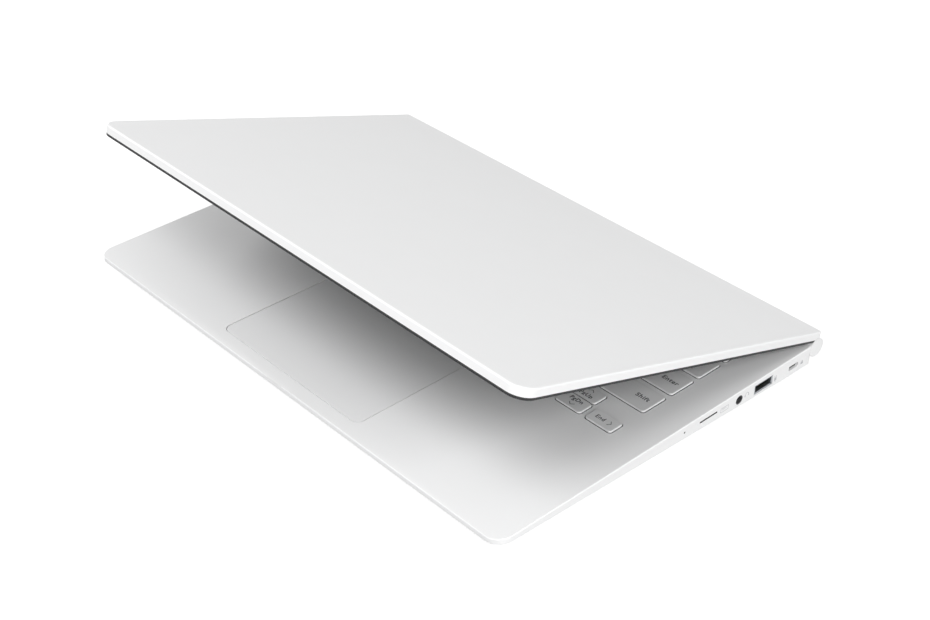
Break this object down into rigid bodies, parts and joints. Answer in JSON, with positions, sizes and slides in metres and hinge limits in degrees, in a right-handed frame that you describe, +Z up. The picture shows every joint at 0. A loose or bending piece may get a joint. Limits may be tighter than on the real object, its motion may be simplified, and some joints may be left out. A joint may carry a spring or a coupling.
{
  "type": "laptop computer",
  "caption": "Thin laptop with a slim lid hinged on a round barrel, island keys in their own openings, a wide touchpad, a sloping side band and sockets in both sides.",
  "frame": {"origin": "on the surface that the feet stand on, under the middle of the footprint from the base's front edge to the back of the hinge barrel", "axes": "+X to the right of someone typing, +Y from the front edge towards the hinge, +Z up out of the deck"},
  "size_m": [0.3044, 0.2162, 0.0837],
  "materials": {
    "casing": "satin, anodised light silver",
    "keycap": "fine matt",
    "pad": "matt glass",
    "steel": "plain",
    "copper": "drawn copper",
    "fins": "bare",
    "board": "solder resist",
    "dark_plastic": "fine matt",
    "black_plastic": "plain",
    "rubber": "matt",
    "silicone": "matt",
    "screen": "glossy, switched off",
    "socket_metal": "plated"
  },
  "bodies": {
    "base": {"top_case": "casing", "bottom_cover": "casing", "keyboard_plate": "steel", "dome_sheet": "silicone", "battery": "dark_plastic", "mainboard": "board", "heat_pipe": "copper", "heat_sink": "fins", "fan_housing": "dark_plastic", "memory_module": "board", "solid_state_drive": "board", "wireless_card": "board", "left_speaker": "black_plastic", "right_speaker": "black_plastic", "right_usb_socket": "socket_metal", "headphone_socket": "black_plastic", "card_reader": "socket_metal", "lock_bracket": "steel", "power_inlet": "black_plastic", "video_socket": "socket_metal", "left_usb_socket": "socket_metal", "touchpad_frame": "steel", "left_hinge_knuckle": "casing", "right_hinge_knuckle": "casing", "knuckle_caps": "casing", "left_hinge_bracket": "steel", "right_hinge_bracket": "steel", "bracket_screws": "steel", "case_screws": "steel", "rubber_feet": "rubber"},
    "lid": {"lid_cover": "casing", "display_panel": "screen", "display_bezel": "dark_plastic", "lid_gasket": "rubber", "camera_module": "black_plastic", "hinge_barrel": "casing", "left_hinge_shaft": "steel", "right_hinge_shaft": "steel", "left_lid_leaf": "steel", "right_lid_leaf": "steel", "leaf_screws": "steel", "display_cable": "black_plastic"},
    "fan": {"fan_rotor": "dark_plastic"},
    "pad": {"touchpad": "pad"},
    "power": {"power_button": "keycap"},
    "function_keys_body": {"function_keys": "keycap"},
    "number_keys_body": {"number_keys": "keycap"},
    "backspace_key_body": {"backspace_key": "keycap"},
    "upper_letter_keys_body": {"upper_letter_keys": "keycap"},
    "backslash_key_body": {"backslash_key": "keycap"},
    "home_letter_keys_body": {"home_letter_keys": "keycap"},
    "enter_key_body": {"enter_key": "keycap"},
    "lower_letter_keys_body": {"lower_letter_keys": "keycap"},
    "right_shift_key_body": {"right_shift_key": "keycap"},
    "modifier_keys_body": {"modifier_keys": "keycap"},
    "space_bar_body": {"space_bar": "keycap"},
    "left_arrow_key_body": {"left_arrow_key": "keycap"},
    "up_arrow_key_body": {"up_arrow_key": "keycap"},
    "down_arrow_key_body": {"down_arrow_key": "keycap"},
    "right_arrow_key_body": {"right_arrow_key": "keycap"}
  },
  "joints": [
    {"name": "lid_hinge", "type": "hinge", "parent": "base", "child": "lid", "pos_m": [0, 0.10303, 0.00864], "axis": [-1, 0, 0], "range_deg": [-18.5, 116.5]},
    {"name": "fan_spin", "type": "hinge", "parent": "base", "child": "fan", "pos_m": [-0.092, 0.05792, 0.0029], "axis": [0, 0, 1], "continuous": true},
    {"name": "touchpad_press", "type": "hinge", "parent": "base", "child": "pad", "pos_m": [0, -0.03177, 0.0104], "axis": [1, 0, 0], "range_deg": [0, 0.35], "stiffness_Nm_per_rad": 5, "springref_deg": -0.34},
    {"name": "power_button_press", "type": "slide", "parent": "base", "child": "power", "axis": [0, 0, -1], "range_m": [0, 0.0004], "stiffness_N_per_m": 1200, "springref_m": -0.0006},
    {"name": "function_press", "type": "slide", "parent": "base", "child": "function_keys_body", "axis": [0, 0, -1], "range_m": [0, 0.0012], "stiffness_N_per_m": 250, "springref_m": -0.0012},
    {"name": "number_press", "type": "slide", "parent": "base", "child": "number_keys_body", "axis": [0, 0, -1], "range_m": [0, 0.0012], "stiffness_N_per_m": 250, "springref_m": -0.0012},
    {"name": "backspace_press", "type": "slide", "parent": "base", "child": "backspace_key_body", "axis": [0, 0, -1], "range_m": [0, 0.0012], "stiffness_N_per_m": 250, "springref_m": -0.0012},
    {"name": "upper_letter_press", "type": "slide", "parent": "base", "child": "upper_letter_keys_body", "axis": [0, 0, -1], "range_m": [0, 0.0012], "stiffness_N_per_m": 250, "springref_m": -0.0012},
    {"name": "backslash_press", "type": "slide", "parent": "base", "child": "backslash_key_body", "axis": [0, 0, -1], "range_m": [0, 0.0012], "stiffness_N_per_m": 250, "springref_m": -0.0012},
    {"name": "home_letter_press", "type": "slide", "parent": "base", "child": "home_letter_keys_body", "axis": [0, 0, -1], "range_m": [0, 0.0012], "stiffness_N_per_m": 250, "springref_m": -0.0012},
    {"name": "enter_press", "type": "slide", "parent": "base", "child": "enter_key_body", "axis": [0, 0, -1], "range_m": [0, 0.0012], "stiffness_N_per_m": 250, "springref_m": -0.0012},
    {"name": "lower_letter_press", "type": "slide", "parent": "base", "child": "lower_letter_keys_body", "axis": [0, 0, -1], "range_m": [0, 0.0012], "stiffness_N_per_m": 250, "springref_m": -0.0012},
    {"name": "right_shift_press", "type": "slide", "parent": "base", "child": "right_shift_key_body", "axis": [0, 0, -1], "range_m": [0, 0.0012], "stiffness_N_per_m": 250, "springref_m": -0.0012},
    {"name": "modifier_press", "type": "slide", "parent": "base", "child": "modifier_keys_body", "axis": [0, 0, -1], "range_m": [0, 0.0012], "stiffness_N_per_m": 250, "springref_m": -0.0012},
    {"name": "space_bar_press", "type": "slide", "parent": "base", "child": "space_bar_body", "axis": [0, 0, -1], "range_m": [0, 0.0012], "stiffness_N_per_m": 250, "springref_m": -0.0012},
    {"name": "left_arrow_press", "type": "slide", "parent": "base", "child": "left_arrow_key_body", "axis": [0, 0, -1], "range_m": [0, 0.0012], "stiffness_N_per_m": 250, "springref_m": -0.0012},
    {"name": "up_arrow_press", "type": "slide", "parent": "base", "child": "up_arrow_key_body", "axis": [0, 0, -1], "range_m": [0, 0.0012], "stiffness_N_per_m": 250, "springref_m": -0.0012},
    {"name": "down_arrow_press", "type": "slide", "parent": "base", "child": "down_arrow_key_body", "axis": [0, 0, -1], "range_m": [0, 0.0012], "stiffness_N_per_m": 250, "springref_m": -0.0012},
    {"name": "right_arrow_press", "type": "slide", "parent": "base", "child": "right_arrow_key_body", "axis": [0, 0, -1], "range_m": [0, 0.0012], "stiffness_N_per_m": 250, "springref_m": -0.0012}
  ]
}
